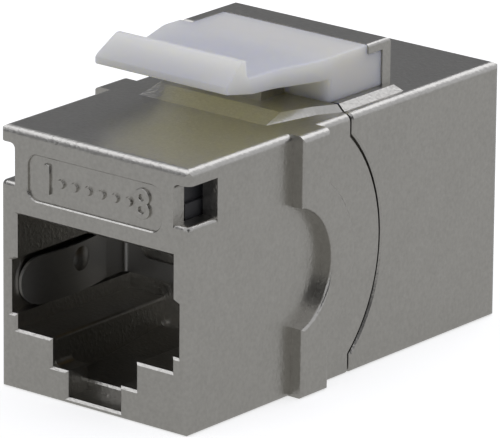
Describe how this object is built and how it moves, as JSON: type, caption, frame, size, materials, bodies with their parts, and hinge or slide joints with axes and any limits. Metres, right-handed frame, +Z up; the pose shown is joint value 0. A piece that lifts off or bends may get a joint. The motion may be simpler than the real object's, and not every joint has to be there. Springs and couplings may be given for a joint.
{
  "type": "keystone coupler",
  "caption": "Inline keystone coupler: two die-cast metal half shells with a modular plug port at each end, side shoulders and a white snap latch on top that presses down to release it.",
  "frame": {"origin": "on the underside, below the middle of the housing", "axes": "+Y from the front port to the rear port, +Z up towards the latch, +X to the right seen from the front"},
  "size_m": [0.016, 0.0292, 0.0204],
  "materials": {
    "nickel_casting": "satin nickel plate on a die casting",
    "latch_plastic": "smooth moulded, satin",
    "black_plastic": "moulded, matt",
    "gold_contact": "gold plated wire",
    "spring_steel": "stamped, bright nickel",
    "board": "solder mask"
  },
  "bodies": {
    "housing": {"front_shell": "nickel_casting", "rear_shell": "nickel_casting", "latch_foot": "latch_plastic", "front_carrier": "black_plastic", "rear_carrier": "black_plastic", "circuit_board": "board", "front_contact_1": "gold_contact", "front_contact_2": "gold_contact", "front_contact_3": "gold_contact", "front_contact_4": "gold_contact", "front_contact_5": "gold_contact", "front_contact_6": "gold_contact", "front_contact_7": "gold_contact", "front_contact_8": "gold_contact", "rear_contact_1": "gold_contact", "rear_contact_2": "gold_contact", "rear_contact_3": "gold_contact", "rear_contact_4": "gold_contact", "rear_contact_5": "gold_contact", "rear_contact_6": "gold_contact", "rear_contact_7": "gold_contact", "rear_contact_8": "gold_contact", "front_shield": "spring_steel", "rear_shield": "spring_steel"},
    "latch": {"latch_arm": "latch_plastic"}
  },
  "joints": [
    {"name": "latch_press", "type": "hinge", "parent": "housing", "child": "latch", "pos_m": [0, 0.00045, 0.01845], "axis": [1, 0, 0], "range_deg": [0, 9], "stiffness_Nm_per_rad": 0.2}
  ]
}
